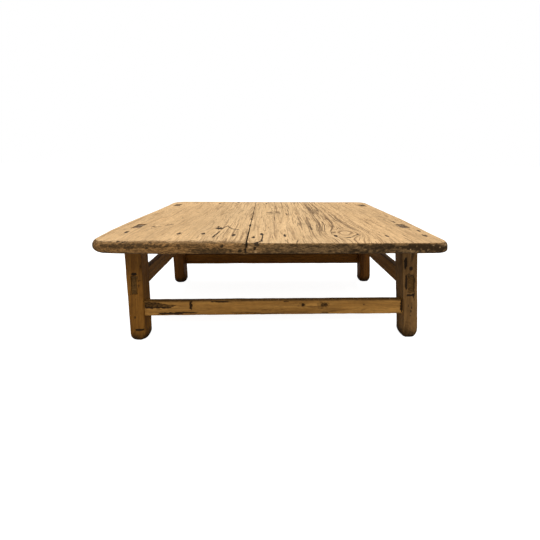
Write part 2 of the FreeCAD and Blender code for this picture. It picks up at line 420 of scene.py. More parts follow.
def dark_lines(tree, look, weather, strength, shades, colour):
    """Rings, long lines and short dashes along the grain, darker where the wood is weathered."""
    crack = arithmetic(tree, "MULTIPLY", weather, 0.75, clamp=True)
    crack = blend(tree, "MIX", crack, shades["line"], shades.get("crack", shades["line"]))
    rings = arithmetic(tree, "PINGPONG", arithmetic(tree, "MULTIPLY", look["rings"], RING_FOLDS), 1.0)
    rings = stretched(tree, weighted(tree, rings, 0.7, look["broad"]), 1.24, 8.0)
    share = arithmetic(tree, "MULTIPLY_ADD", weather, 0.45 * strength, 0.30 * strength)
    colour = blend(tree, "MIX", arithmetic(tree, "MULTIPLY", rings, share), colour, shades["line"])
    lined = stretched(tree, weighted(tree, look["fine"], 0.080, weather), 0.618, 22.0)
    share = arithmetic(tree, "MULTIPLY_ADD", weather, 0.55 * strength, 0.45 * strength)
    colour = blend(tree, "MIX", arithmetic(tree, "MULTIPLY", lined, share), colour, crack)
    dashes = stretched(tree, weighted(tree, look["dashes"], 0.06, weather), 0.645, 16.0)
    share = arithmetic(tree, "MULTIPLY", dashes, 0.8 * strength)
    return blend(tree, "MIX", share, colour, crack), lined


def worn_surface(tree, look, end, shades, colour):
    """Mottle, open pores, rubbed places, end grain, tone with painted shade and sheen, and grime over the
    lined wood.
    """
    for part, stops in (("mottle", ((0.28, 0.86), (0.72, 1.12))), ("pores", ((0.30, 0.82), (0.62, 1.06)))):
        colour = blend(tree, "MULTIPLY", 1.0, colour, ramp(tree, look[part], stops))
    speckle = look["speckle"]
    patchy = ramp(tree, speckle, ((0.35, 0.3), (0.6, 1.0)))
    rubbed = arithmetic(tree, "MULTIPLY", attribute(tree, "wear"), patchy)
    colour = blend(tree, "MIX", rubbed, colour, shades["worn"])
    end = weighted(tree, arithmetic(tree, "MULTIPLY", end, 1.4), 1.5, speckle)
    end_colour = ramp(tree, look["ends"], ((0.36, shades["end_dark"]), (0.66, shades["end_pale"])))
    colour = blend(tree, "MIX", stretched(tree, end, 1.30, 2.2), colour, end_colour)
    # The tone carries painted shade and painted sheen as well as the wood's own tint.
    colour = blend(tree, "MULTIPLY", 1.0, colour, attribute(tree, "tone", "Color"))
    dirt = weighted(tree, arithmetic(tree, "MULTIPLY", attribute(tree, "dirt"), 1.4), 0.8, speckle)
    return blend(tree, "MIX", stretched(tree, dirt, 1.05, 1.5), colour, shades["grime"])


def wood(name, strength, roughness, sheen, shades):
    """Old wood with dark lines along the grain and a worn surface."""
    material, tree, shader = tree_of(name)
    grain = attribute(tree, "grain", "Vector")
    look = {part: texture(tree, grain, *numbers) for part, numbers in WOOD_TEXTURES.items()}
    end = attribute(tree, "end")
    colour = ramp(tree, look["figure"], ((0.34, shades["dark"]), (0.64, shades["pale"])))
    colour, lined = dark_lines(tree, look, attribute(tree, "weather"), strength, shades, colour)
    feed(tree, worn_surface(tree, look, end, shades, colour), shader.inputs["Base Color"])
    sides = ramp(tree, look["fine"], ((0.3, roughness[1]), (0.7, roughness[0])))
    feed(tree, blend(tree, "MIX", end, sides, (END_ROUGHNESS,) * 3), shader.inputs["Roughness"])
    shader.inputs["Specular IOR Level"].default_value = sheen
    bump(tree, shader, arithmetic(tree, "SUBTRACT", look["mottle"], lined), 0.3, 0.0006)
    return material


def iron():
    """Forged iron, rusted dark."""
    material, tree, shader = tree_of("rusted_iron")
    grain = attribute(tree, "grain", "Vector")
    rust = texture(tree, grain, (420, 420, 420), 4, 0.6)
    colour = ramp(tree, rust, ((0.35, (0.012, 0.009, 0.008)), (0.55, (0.030, 0.020, 0.015)),
                               (0.75, (0.075, 0.035, 0.016))))
    feed(tree, colour, shader.inputs["Base Color"])
    feed(tree, ramp(tree, rust, ((0.3, 0.55), (0.7, 0.85))), shader.inputs["Roughness"])
    shader.inputs["Metallic"].default_value = 0.35
    bump(tree, shader, rust, 0.4, 0.0004)
    return material


def bamboo():
    """Plain pins inside the top."""
    material, tree, shader = tree_of("pin_bamboo")
    place = tree.nodes.new("ShaderNodeTexCoord").outputs["Object"]
    fibre = texture(tree, place, (12, 500, 500), 3, 0.5)
    colour = ramp(tree, fibre, ((0.3, (0.34, 0.22, 0.09)), (0.7, (0.52, 0.38, 0.18))))
    feed(tree, colour, shader.inputs["Base Color"])
    feed(tree, ramp(tree, fibre, ((0.3, 0.5), (0.7, 0.7))), shader.inputs["Roughness"])
    return material


# Woods: strength of the lines, least and greatest roughness, sheen, colours
WOODS = {
    "top_wood": (0.8, (0.5, 0.72), 0.20, {
        "pale": (0.69, 0.460, 0.235), "dark": (0.62, 0.402, 0.197), "line": (0.215, 0.112, 0.044),
        "crack": (0.080, 0.042, 0.017), "grime": (0.036, 0.019, 0.006), "worn": (0.62, 0.40, 0.20),
        "end_pale": (0.36, 0.205, 0.080), "end_dark": (0.030, 0.016, 0.006)}),
    "leg_wood": (0.5, (0.45, 0.65), 0.12, {
        "pale": (0.285, 0.132, 0.026), "dark": (0.165, 0.070, 0.011), "line": (0.055, 0.023, 0.005),
        "grime": (0.026, 0.011, 0.002), "worn": (0.34, 0.19, 0.06),
        "end_pale": (0.36, 0.255, 0.165), "end_dark": (0.065, 0.042, 0.026)}),
    "stretcher_wood": (0.7, (0.45, 0.65), 0.12, {
        "pale": (0.500, 0.245, 0.056), "dark": (0.330, 0.150, 0.030), "line": (0.105, 0.046, 0.011),
        "grime": (0.034, 0.014, 0.002), "worn": (0.52, 0.30, 0.10),
        "end_pale": (0.18, 0.090, 0.022), "end_dark": (0.050, 0.023, 0.006)}),
    "wedge_wood": (0.6, (0.6, 0.8), 0.12, {
        "pale": (0.16, 0.088, 0.030), "dark": (0.10, 0.052, 0.017), "line": (0.045, 0.024, 0.009),
        "grime": (0.018, 0.011, 0.006), "worn": (0.26, 0.16, 0.07),
        "end_pale": (0.16, 0.085, 0.028), "end_dark": (0.040, 0.020, 0.008)}),
    "batten_wood": (0.6, (0.6, 0.8), 0.12, {
        "pale": (0.24, 0.135, 0.055), "dark": (0.16, 0.085, 0.032), "line": (0.075, 0.040, 0.016),
        "grime": (0.03, 0.018, 0.009), "worn": (0.33, 0.20, 0.09),
        "end_pale": (0.18, 0.095, 0.032), "end_dark": (0.045, 0.023, 0.009)})}
MATERIALS = {name: wood(name, *looks) for name, looks in WOODS.items()}
MATERIALS["nail_iron"] = iron()
MATERIALS["pin_bamboo"] = bamboo()


# The top: two boards

FRONT, REAR = -350.0, 350.0
LEFT_BOX, RIGHT_BOX = box_mm("top_board_left"), box_mm("top_board_right")
UNDERSIDE, TOP = LEFT_BOX[0][2], LEFT_BOX[1][2]
JOINT_FRONT, JOINT_REAR = LEFT_BOX[1][0], RIGHT_BOX[0][0]
JOINT = (JOINT_FRONT + JOINT_REAR) / 2
KNOT = (203.0, -250.0)
KNOT_RADIUS = 34.0
KNOT_STRETCH = 1.3
FAR_FROM_KNOT = 9.0
BAND_FADE = 25.0
# Worn edges of the top: plain radius, and its change at the rear, at the front left and at the front right
UPPER_EDGE = {"plain": 5.5, "rear": -2.0, "left": 7.0, "left_span": (-120, 400), "right": 4.5,
              "wave": 1.4, "seed": 11}
LOWER_EDGE = {"plain": 5.0, "rear": 0.0, "left": 8.0, "left_span": (250, 430), "right": 2.5,
              "wave": 1.2, "seed": 12}
# How steeply the opening of the joint and the bow of the outer edge fade out across a board
JOINT_FADE = 90
BOW_FADE = 3
JOINT_CRISP = 0.18
JOINT_REACH = 6.0
# Dimples and stains round the nails, dark rims and worn dips round the mortises
HEAD_SLICE = 0.1
NAIL_SPACING = 10.0
NAIL_DIMPLE = (3.4, 6.0)
NAIL_DIMPLE_DEPTH = 1.8
NAIL_STAIN = (6.4, 14.5)
MORTISE_RIM = 2.4
MORTISE_HALO = 8.0
MORTISE_WORN = 4.5
MORTISE_DIP = 1.1
# The rear face takes its noise from this far up, so that it doesn't repeat the front's marks
REAR_SHIFT = 60.0

# The side edges as worn: place along the edge and how far it lies to the right of a straight line
LEFT_BOW = (
    (-350, 10), (-300, 5), (-260, 0), (-215, -4), (-140, -2), (-40, -1), (80, 2), (200, 4),
    (350, 1))
RIGHT_BOW = ((-350, 6), (-260, 3.5), (-160, 4.5), (-60, 7.5), (80, 5), (200, 2), (350, 1))
# Weathered bands: middle, half width, front end, rear end, strength
WEATHERED = (
    (178, 28, -225, 420, 0.62), (222, 11, -110, 180, 0.55), (73, 7, 0, 290, 0.55),
    (98, 16, -140, 60, 0.35), (18, 7, -110, 225, 0.4), (140, 70, -190, 420, 0.22),
    (120, 30, 150, 420, 0.2), (260, 40, -60, 330, 0.2), (40, 30, 150, 400, 0.15))
# Scars: path, half width, depth, darkness; squeezed along the grain, so that they are wider that way
SCARS = (
    (((-142, -194), (-129, -160), (-115, -196), (-92, -206)), 3.0, 0.8, 0.7),
    (((-151, -286), (-146, -258), (-143, -236)), 3.6, 0.9, 0.75),
    (((-342, -180), (-326, -168)), 3.0, 0.5, 0.6), (((-318, -158), (-300, -140)), 3.0, 0.5, 0.6),
    (((-120, 40), (-104, 120)), 2.4, 0.4, 0.55), (((-176, 20), (-160, 60)), 2.6, 0.4, 0.55),
    (((-43, -352), (-38, -340), (-24, -324), (-22, -272)), 3.0, 1.8, 0.9),
    (((-12, 62), (38, 60)), 5.0, 0.6, 0.65), (((-2, 96), (34, 94)), 5.0, 0.5, 0.55),
    (((-10, 34), (20, 36)), 4.4, 0.5, 0.5), (((40, -345), (34, -318)), 2.2, 0.6, 0.65),
    (((60, -345), (66, -322)), 2.2, 0.6, 0.65))
SCAR_SQUEEZE = 0.4
# Dark places on the top: x, y, half sizes, depth, darkness
TOP_BLOTS = (
    (-151, -192, 13, 17, 1.2, 0.8), (-156, -168, 4, 14, 0.6, 0.6), (-36, -345, 6, 9, 3.0, 1.0),
    (-59, -345, 4, 9, 2.0, 0.9), (-46, -289, 5, 13, 1.0, 0.75), (403, -100, 5, 12, 0.6, 0.85),
    (423, -221, 6, 15, 0.7, 0.9), (387, -66, 4, 8, 0.4, 0.7), (-348, -169, 4, 9, 0.4, 0.6),
    (174, -242, 9, 10, 0.8, 0.55), (-64, -60, 4, 16, 0.8, 0.8), (-63, -150, 4, 22, 0.8, 0.7),
    (8, 150, 4, 12, 0.4, 0.7), (24, 210, 3, 12, 0.4, 0.6), (-208, 130, 3, 12, 0.4, 0.5),
    (-270, 60, 4, 8, 0.4, 0.5), (118, -190, 5, 20, 0.4, 0.6), (88, -130, 4, 18, 0.4, 0.5),
    (60, 30, 3, 25, 0.4, 0.6), (-300, -40, 4, 9, 0.3, 0.5), (-371, -328, 6, 9, 2.2, 1.0),
    (-356, -333, 5, 7, 1.8, 0.9))
# Marks on the front face: x, z, half width, half height, depth, darkness; specks have a strength at the end
FRONT_MARKS = (
    (-330, 329, 95, 7, 0, 0.6), (-146, 317, 62, 8, 0, 0.6), (-200, 330, 60, 5, 0, 0.5),
    (-60, 314, 30, 7, 0, 0.35), (262, 325, 50, 12, 0, 0.62), (375, 325, 85, 12, 0, 0.72),
    (130, 329, 90, 8, 0, 0.38), (20, 329, 60, 7, 0, 0.38), (60, 316, 110, 4, 0, 0.4),
    (180, 318, 60, 5, 0, 0.35), (-61, 331, 5, 5, 2, 0.95), (-63, 317, 3.5, 6, 2, 0.9),
    (-76, 316, 6, 4, 1, 0.85), (-36, 331, 7, 4, 2.5, 1.0), (-41, 323, 4, 5, 2, 1.0),
    (-50, 319, 3, 2.5, 1, 0.8), (-118, 328, 4, 5, 2, 1.0), (-420, 322, 18, 7, 0, 0.4))
FRONT_SPECKS = (
    (338, 320, 2.2, 3, 0.62), (363, 320, 2, 3.6, 0.55), (380, 319, 2.2, 3, 0.66),
    (409, 325, 2.6, 3, 0.6), (352, 327, 2.6, 1.8, 0.5), (-52, 326, 7, 3, 0.75),
    (-39, 315, 7, 3.4, 0.52), (392, 330, 4, 1.8, 0.6), (98, 312, 30, 2.4, 0.28),
    (60, 311, 24, 2.4, 0.28), (-45, 321, 17, 13, 0.25))


def joint_at(y):
    return JOINT_FRONT + (JOINT_REAR - JOINT_FRONT) * (y - FRONT) / (REAR - FRONT)


def flat_noise(x, y, waves, seed):
    return rough(np.stack([x, y, np.zeros(x.shape)], -1), (*waves, 1.0), seed)


def near_joint(x):
    """Share of an edge's radius: small at the joint, whole away from it."""
    return JOINT_CRISP + (1 - JOINT_CRISP) * smooth(np.abs(x - JOINT), 0.5, 9.0)


def edge_radius(plain, rear, left, left_span, right, wave, seed):
    """Radius of a worn edge of the top, from a place on it."""
    def radius(x, y):
        size = plain + rear * smooth(y, 200, 340) + wave * flat_noise(x, y, (45, 45), seed)
        size = size + left * smooth(-x, *left_span) * smooth(-y, 0, 330)
        size = size + right * smooth(x, 370, 440) * smooth(-y, 180, 330)
        return size * near_joint(x)
    return radius


def along_joint(points, outer, mortises):
    """Slants and bows a board's long edges, opens the joint, and leaves the mortises in place."""
    x, y, z = points.T
    share = (x - outer) / (JOINT - outer)
    to_rear = (y - FRONT) / (REAR - FRONT)
    taper = LEFT_TAPER * to_rear if outer < 0 else RIGHT_TAPER * (to_rear - 1)
    opened = 0.45 + 0.55 * smooth(-y, -200, 340) + 0.45 * flat_noise(y, z, (26, 30), 21 if outer < 0 else 22)
    opened = 0.1 + np.maximum(opened, 0.25) * smooth(z, UNDERSIDE + 8, TOP - 3)
    back = np.sign(outer) * opened * np.clip(share, 0, 1) ** JOINT_FADE
    places, bows = zip(*(LEFT_BOW if outer < 0 else RIGHT_BOW))
    bow = np.interp(y, places, bows) * np.clip(1 - share, 0, 1) ** BOW_FADE
    shift = (joint_at(y) - JOINT) * share + taper * (1 - share) + bow + back
    for low, high in mortises:
        shift = shift * (1 - rectangle(x, y, low, high, MORTISE_REACH))
    return np.stack([x + shift, y, z], -1)


def tenon_box(side, end):
    """Plan of a leg's tenon in the top: low and high corners."""
    low, high = box_mm("leg_wedge_" + end + "_" + side)
    middle = (low[1] + high[1]) / 2
    half = LEG_TENON_DEPTH / 2
    return np.array([low[0], middle - half]), np.array([high[0], middle + half])


def nail_places(node):
    """Middles of the nail heads in a node."""
    points = np.array([vertex.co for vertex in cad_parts[node].data.vertices]) * METRE
    heads = points[points[:, 2] > points[:, 2].max() - HEAD_SLICE]
    heads = heads[np.argsort(heads[:, 0])]
    groups = np.split(heads, np.where(np.diff(heads[:, 0]) > NAIL_SPACING)[0] + 1)
    return [(group.min(axis=0) + group.max(axis=0)) / 2 for group in groups]


NAILS = {end: nail_places(end + "_batten_nails") for end in ("front", "rear")}


def knot_flow(x, y):
    """Distance across the grain, parted round the knot, and the distance from the knot in its own radii."""
    across, along = x - KNOT[0], (y - KNOT[1]) / KNOT_STRETCH
    near = np.exp(-(np.hypot(across, along) / (2 * KNOT_RADIUS)) ** 2)
    across = across + 7 * near * flat_noise(x, y, (42, 60), 45)
    along = along + 9 * near * flat_noise(x, y, (38, 50), 46)
    reach = np.hypot(across, along) / KNOT_RADIUS
    parted = KNOT[0] + across * (1 - 1 / np.maximum(reach, 1) ** 2)
    return np.where(reach < 1, KNOT[0] + (reach - 1) * KNOT_RADIUS * 0.7, parted), reach


def board_weather(x, y, across, reach):
    """How weathered the top is: rubbed smooth on the left, with dark open grain in bands on the right."""
    left = 0.16 + 0.36 * smooth(x, -260, -110)
    right = 0.34 - 0.06 * smooth(x, 240, 330)
    total = np.where(x < JOINT, left, right) + 0.22 * flat_noise(x, y, (60, 150), 43)
    for middle, half, front, rear, strength in WEATHERED:
        ends = smooth(y, front - BAND_FADE, front + BAND_FADE)
        ends = ends * (1 - smooth(y, rear - BAND_FADE, rear + BAND_FADE))
        total = total + strength * ends * np.exp(-((across - middle) / half) ** 2)
    total = total + 0.34 * np.exp(-((reach - 1.8) / 0.9) ** 2)
    return np.clip(total, 0, 1)


def marked(depth, dirt, mark, sunk, darkness):
    """Depth and dirt with one more mark."""
    return depth + sunk * mark, np.maximum(dirt, darkness * mark)


def knot_marks(x, y, reach, ragged):
    """Depth and darkness of the knot's rings."""
    angle = np.arctan2(y - KNOT[1], x - KNOT[0])
    around = 0.35 + 0.65 * smooth(np.cos(angle + 0.9), -0.3, 0.8)
    ring = np.exp(-((reach - 0.98) / 0.12) ** 2) * around * (0.75 + 0.4 * ragged)
    inner = np.exp(-((reach - 0.55) / 0.10) ** 2) * 0.45 * (0.6 + 0.5 * ragged)
    return 0.6 * ring - 0.6 * (1 - smooth(reach, 0.3, 0.9)), 0.74 * ring + 0.95 * inner


def board_marks(x, y, reach, mortises):
    """Depth and darkness of the marks on the upper face."""
    ragged = flat_noise(x, y, (5, 11), 33)
    wander_x = x + 1.6 * flat_noise(x, y, (9, 22), 31)
    wander_y = y + 5.0 * flat_noise(x, y, (9, 22), 32)
    depth, dirt = knot_marks(x, y, reach, ragged)
    for path, half, sunk, darkness in SCARS:
        squeezed = [(a, b * SCAR_SQUEEZE) for a, b in path]
        mark = stroke(wander_x, wander_y * SCAR_SQUEEZE, squeezed, half * (1 + 0.5 * ragged))
        depth, dirt = marked(depth, dirt, mark, sunk, darkness)
    for *middle, half_x, half_y, sunk, darkness in TOP_BLOTS:
        mark = blot(wander_x, wander_y, middle, (half_x, half_y), ragged)
        depth, dirt = marked(depth, dirt, mark, sunk, darkness)
    opened = 1 - smooth(np.abs(x - joint_at(y)), 0.6, 1.6 + 0.5 * smooth(-y, 150, 340))
    dirt = np.maximum(dirt, 0.7 * opened)
    for place in NAILS["front"] + NAILS["rear"]:
        dimple = 1 - smooth(np.hypot(x - place[0], y - place[1]), *NAIL_DIMPLE)
        stain = blot(wander_x, wander_y, place[:2], NAIL_STAIN, 0.6 * ragged)
        depth, dirt = depth + NAIL_DIMPLE_DEPTH * dimple, np.maximum(dirt, 0.72 * stain)
    for low, high in mortises:
        rim = rectangle(wander_x * 0.3 + x * 0.7, y, low, high, MORTISE_RIM)
        halo = rectangle(wander_x, wander_y, low, high, MORTISE_HALO) * (0.35 + 0.5 * ragged)
        uneven = 0.7 + 0.5 * flat_noise(x, y, (9, 9), 65)
        depth = depth + MORTISE_DIP * rectangle(x, y, low, high, MORTISE_WORN) * uneven
        dirt = np.maximum(dirt, np.maximum(rim, halo))
    return depth, dirt


def front_marks(x, z):
    """Depth, darkness and pale specks of the marks on the end faces."""
    ragged = flat_noise(x, z, (8, 4), 73)
    wander_x = x + 2.0 * flat_noise(x, z, (16, 6), 74)
    depth = 0.35 * flat_noise(x, z, (14, 5), 72)
    dirt = 0.20 + 0.22 * flat_noise(x, z, (34, 8), 71) + 0.16 * flat_noise(x, z, (60, 2.6), 79)
    right = smooth(x, -70, 20)
    dirt = dirt + 0.12 * smooth(x, 90, 260) + right * (0.14 + 0.55 * flat_noise(x, z, (12, 4), 80))
    for *middle, half_x, half_z, sunk, darkness in FRONT_MARKS:
        mark = blot(wander_x, z, middle, (half_x, half_z), 0.8 * ragged)
        depth, dirt = marked(depth, dirt, mark, sunk, darkness)
    pale = np.zeros(x.shape)
    for *middle, half_x, half_z, strength in FRONT_SPECKS:
        pale = np.maximum(pale, strength * blot(x, z, middle, (half_x, half_z), 0.6 * ragged))
    return depth, dirt, pale


def board_faces(normals):
    """How far each point looks up, down, and to the front or rear."""
    return (smooth(normals[:, 2], 0.45, 0.85), smooth(-normals[:, 2], 0.35, 0.8),
            smooth(np.abs(normals[:, 1]), 0.40, 0.8))


def board_grain(side, points):
    """Places across and along the grain, how weathered the wood is there, and the distance from the knot."""
    x, y, z = points.T
    if side == "left":
        across = x + 26 * flat_noise(x, y, (170, 330), 41) + 3 * flat_noise(x, y, (40, 200), 42)
        reach = np.full(x.shape, FAR_FROM_KNOT)
    else:
        across, reach = knot_flow(x, y)
        across = across + 4 * flat_noise(x, y, (60, 220), 44)
    return np.stack([across, y, z], -1), board_weather(x, y, across, reach), reach


def board_tone(points, normals):
    """Lightness and tint: painted shade below and on the outer sides, painted sheen lighter towards the rear,
    warmer on the left of the front edge.
    """
    x, y, _ = points.T
    on_top, under, on_end = board_faces(normals)
    # Painted sheen: lighter towards the rear. Painted shade: darker on the underside.
    tone = (1 + 0.06 * flat_noise(x, y, (120, 260), 77) + 0.10 * smooth(y, 60, 300)) * (1 - 0.45 * under)
    # Painted shade: the outer side faces darker, away from the joint.
    side_face = smooth(np.abs(normals[:, 0]), 0.5, 0.85) * (np.abs(x - JOINT) > 60)
    tone = tone * (1 - 0.45 * side_face) * (0.99 - 0.04 * smooth(x, 180, 320) - 0.02 * smooth(-x, 60, 200))
    warmth = on_end * (y < 0) * (1.1 * smooth(-x, -120, 260) - 0.1)
    rim = on_top * smooth(np.abs(x), 100, 320)
    tint = 1 + warmth[:, None] * np.array([0.30, 0.16, -0.06]) + rim[:, None] * np.array([0.01, -0.02, -0.06])
    return np.clip(tone, 0.2, 1.3)[:, None] * tint


def board_fields(side, points, normals, mortises):
    """Depth of the marks on a board, and what its material reads."""
    x, y, z = points.T
    on_top, under, on_end = board_faces(normals)
    flow, weather, reach = board_grain(side, points)
    streak = 0.6 * noise(flow, (4.6, 95, 40), 51) + 0.4 * noise(flow, (9, 170, 40), 52)
    grooves = smooth(streak + 0.75 * weather - 0.62, 0, 0.4)
    top_depth, top_dirt = board_marks(x, y, reach, mortises)
    top_depth = top_depth + 0.55 * grooves + 0.22 * noise(flow, (6, 140, 30), 53)
    top_depth = top_depth + 0.4 * flat_noise(x, y, (130, 130), 54)
    end_depth, end_dirt, pale = front_marks(x, np.where(y < 0, z, z + REAR_SHIFT))
    depth = top_depth * on_top + end_depth * on_end + 0.3 * under * rough(points, (9, 60, 9), 75)
    facing_side, facing_end = np.abs(normals[:, 0]), np.abs(normals[:, 1])
    worn_left = smooth(-x, -60, 200)
    arris = smooth(facing_end, 0.40 - 0.24 * worn_left, 0.80 - 0.30 * worn_left)
    below = under * (0.3 + 0.25 * flat_noise(x, y, (70, 200), 76))
    in_joint = smooth(facing_side, 0.35, 0.7) * (np.abs(x - joint_at(y)) < JOINT_REACH)
    dirt = np.maximum.reduce([top_dirt * on_top, end_dirt * arris, below, in_joint])
    end = smooth(facing_end, 0.14 - 0.10 * worn_left, 0.55 - 0.25 * worn_left)
    broken = 0.60 + 0.35 * flat_noise(x, y, (22, 16), 78)
    end = np.maximum(end, broken * smooth(-y, 308, 340) * worn_left)
    corner = smooth(x, 400, 430) * (y < -300) * smooth(z, 322, 331)
    wear = np.clip((pale * (y < 0) + 0.7 * corner) * on_end, 0, 1)
    fields = {"grain": flow / METRE, "dirt": np.clip(dirt * (1 - wear), 0, 1),
              "tone": board_tone(points, normals), "wear": wear,
              "weather": weather * (0.3 + 0.7 * on_top), "end": np.clip(end, 0, 1) * (1 - wear)}
    return depth, fields


def board(side):
    """One board of the top, with the mortises of its two legs."""
    outer = LEFT_BOX[0][0] if side == "left" else RIGHT_BOX[1][0]
    across, along = (min(outer, JOINT), max(outer, JOINT)), (FRONT, REAR)
    rect, radii = (*across, *along), BOARD_CORNERS[side]
    mortises = []
    for end in ("front", "rear"):
        tenon_low, tenon_high = tenon_box(side, end)
        mortises.append((tenon_low - TOP_MORTISE_GAP, tenon_high + TOP_MORTISE_GAP))
    corners = np.concatenate(mortises)
    u = lines(*across, BOARD_STEP_ACROSS, corners[:, 0], EDGE_LINES)
    v = lines(*along, BOARD_STEP_ALONG, corners[:, 1], EDGE_LINES)
    rings = edge_rings(rect, radii, UNDERSIDE, -1, lower_radius)[::-1]
    rings += side_rings(rect, radii, (UNDERSIDE, TOP), (lower_radius, upper_radius), SIDE_RINGS)
    rings += edge_rings(rect, radii, TOP, 1, upper_radius)
    holes = []
    for pair in mortises:
        span = [index_of(u, *across, corner[0]) for corner in pair]
        span += [index_of(v, *along, corner[1]) for corner in pair]
        holes.append(("high", "low", span))
    points, faces = loft(u, v, rings, holes)
    points = along_joint(points, outer, mortises)
    normals = normals_of(points, faces)
    depth, fields = board_fields(side, points, normals, mortises)
    points = points - normals * depth[:, None]
    points[:, 2] = np.clip(points[:, 2], UNDERSIDE, TOP)
    make_piece("worn_board_" + side, "top_board_" + side, "top_wood", points, faces, fields)


upper_radius = edge_radius(**UPPER_EDGE)
lower_radius = edge_radius(**LOWER_EDGE)
for side in ("left", "right"):
    board(side)


# Bars: legs, stretchers, battens and wedges

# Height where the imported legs' straight sides begin, above their rounded feet
FOOT_ROUND = 15.0
# Worn feet: radius of the inner and outer side, inner corners in plan, inner flare, height of the wear
FOOT_INNER = {"left": 7.0, "right": 5.0}
FOOT_OUTER = {"left": 22.0, "right": 31.0}
FOOT_CORNER = {"left": 20.0, "right": 11.0}
FOOT_FLARE = {"left": 3.5, "right": 5.0}
FOOT_REACH = 15.0
LEG_BOX = box_mm("leg_front_left")
LEAN_RATE = (LEG_BOX[1][0] - LEG_BOX[0][0] - LEG_WIDTH) / (UNDERSIDE - FOOT_ROUND)
LEG_EDGE = 4.0
STRETCHER_EDGE = 2.5
TENON_EDGE = 0.8
END_DEPTH = 4.0
WEDGE_RISE = 5.0
# Where a leg's straight shaft begins, in outer foot radii, and the heights of its tenon's rings as shares
SHAFT_START = 1.15
TENON_LEVELS = (0, 0.3, 0.6)
TENON_RINGS = 10
HOLE_RIM = 3.0
# How much darker the legs get towards the floor.
FOOT_DARKENING = 0.70
# How much darker the stretchers' upper faces get.
RAIL_TOP_DARKENING = 0.38
# Up to what height the legs are darker towards the floor.
DARKENING_HEIGHT = 42.0
PLAIN = (1.0, 1.0, 1.0)
# Tints of the legs and stretchers: the rear legs and the rear and side stretchers are darker, partly their
# own tone and partly painted shade under the top
LEG_TONES_AND_SHADE = {"front_left": (1.20, 1.10, 0.80), "front_right": (1.02, 1.14, 1.80),
             "rear_left": (0.82, 0.66, 0.46), "rear_right": (0.84, 0.66, 0.42)}
STRETCHER_TONES_AND_SHADE = {"front": PLAIN, "rear": (0.67, 0.52, 0.28),
                   "left": (0.88, 0.84, 0.80), "right": (0.88, 0.84, 0.80)}
# Faces of a bar: the axis and direction they look along, and the two axes that their marks are placed on
FACES = {"front": (1, -1, (0, 2)), "rear": (1, 1, (0, 2)), "left": (0, -1, (1, 2)), "right": (0, 1, (1, 2))}

# Marks on bars: the face, then for each mark its place on the face's two axes, half sizes, depth, darkness
NO_MARKS = ("front", ())
LEG_MARKS = {
    "front_left": ("front", ((-397, 199, 9, 5, 2.0, 1.0), (-400, 194, 4, 5, 1.4, 0.9),
        (-373, 243, 3.5, 22, 1.2, 0.8), (-378, 222, 3, 9, 0.8, 0.6), (-380, 33, 20, 3.6, 1.5, 0.85),
        (-366, 29, 9, 4, 1.0, 0.7), (-382, 15, 22, 8, 0.6, 0.6), (-384, 180, 11, 3.5, 0.5, 0.55),
        (-384, 165, 2, 7, 0.6, 0.55), (-397, 70, 4, 5, 0.6, 0.6))),
    "front_right": ("front", ((405, 229, 6.5, 21, 2.2, 0.85), (421, 212, 6, 8, 0.9, 0.8),
        (415, 191, 12, 5, 0.9, 0.75), (420, 130, 15, 4.5, 1.6, 0.85), (431, 135, 4.5, 16, 1.0, 0.75),
        (408, 165, 5, 26, 1.2, 0.85), (432, 168, 4, 24, 1.0, 0.75), (418, 184, 14, 3.5, 1.0, 0.8),
        (425, 250, 5, 18, 0.6, 0.5), (415, 40, 16, 14, 0.3, 0.3), (426, 92, 2.6, 5, 0.5, 0.7),
        (416, 98, 2.2, 6, 0.5, 0.6), (427, 104, 2, 8, 0.5, 0.7), (424, 82, 3, 6, 0.6, 0.7),
        (423, 68, 2, 4, 0.5, 0.6), (432, 118, 2, 6, 0.6, 0.7))),
    "rear_left": ("rear", ((-385, 30, 10, 9, 1.2, 0.7), (-392, 230, 3, 20, 0.8, 0.6))),
    "rear_right": ("rear", ((418, 96, 3, 16, 0.8, 0.6), (424, 225, 4, 14, 1.0, 0.7)))}
STRETCHER_MARKS = {
    "front": ("front", ((-364, 103, 22, 13, 0.9, 0.66), (-344, 102, 28, 12, 0.9, 0.64),
        (-322, 101, 26, 9, 0.8, 0.6), (-300, 100, 20, 6, 0.8, 0.58), (-330, 95, 52, 2.2, 1.0, 0.85),
        (-286, 102, 8, 2.5, 0.8, 0.7), (-236, 102, 4.6, 14, 1.8, 1.0), (-235, 112, 5.5, 3, 1.0, 0.9),
        (-290, 77, 44, 4.5, 1.6, 0.85), (-246, 79, 34, 3.5, 1.2, 0.75), (-70, 76, 60, 3, 0.8, 0.5),
        (-10, 75, 70, 3, 0.8, 0.55), (98, 101, 6, 6, 0.5, 0.75), (96, 100, 16, 10, 0.1, 0.33),
        (163, 100, 13, 9, 0.6, 0.66), (160, 99, 28, 14, 0.1, 0.38), (130, 96, 26, 3, 0.1, 0.36),
        (48, 111, 9, 2.5, 0.8, 0.85), (-150, 112, 34, 2.5, 0.6, 0.8), (164, 76, 16, 4, 0.3, 0.55),
        (398, 96, 5, 26, 0.5, 1.0), (283, 101, 5, 4, 0.3, 0.5))),
    "rear": ("rear", ((120, 96, 8, 6, 0.5, 0.7), (-210, 84, 40, 4, 0.8, 0.6))),
    "left": ("left", ((60, 165, 9, 6, 0.5, 0.7),)),
    "right": ("right", ((-40, 160, 8, 6, 0.5, 0.7),))}


def lean_of(z):
    return LEAN_RATE * np.maximum(UNDERSIDE - z, 0)


def leg_faces(side, z):
    """Inner and outer face of a leg at a height."""
    low = box_mm("leg_front_" + side)[0][0]
    width = LEG_WIDTH - LEG_TAPER * np.maximum(UNDERSIDE - z, 0) / UNDERSIDE
    inner = (low + LEG_WIDTH if side == "left" else low) + lean_of(z)
    return inner, inner + (-width if side == "left" else width)


def facing(normals, face):
    axis, direction, _ = FACES[face]
    return smooth(direction * normals[:, axis], 0.45, 0.85)


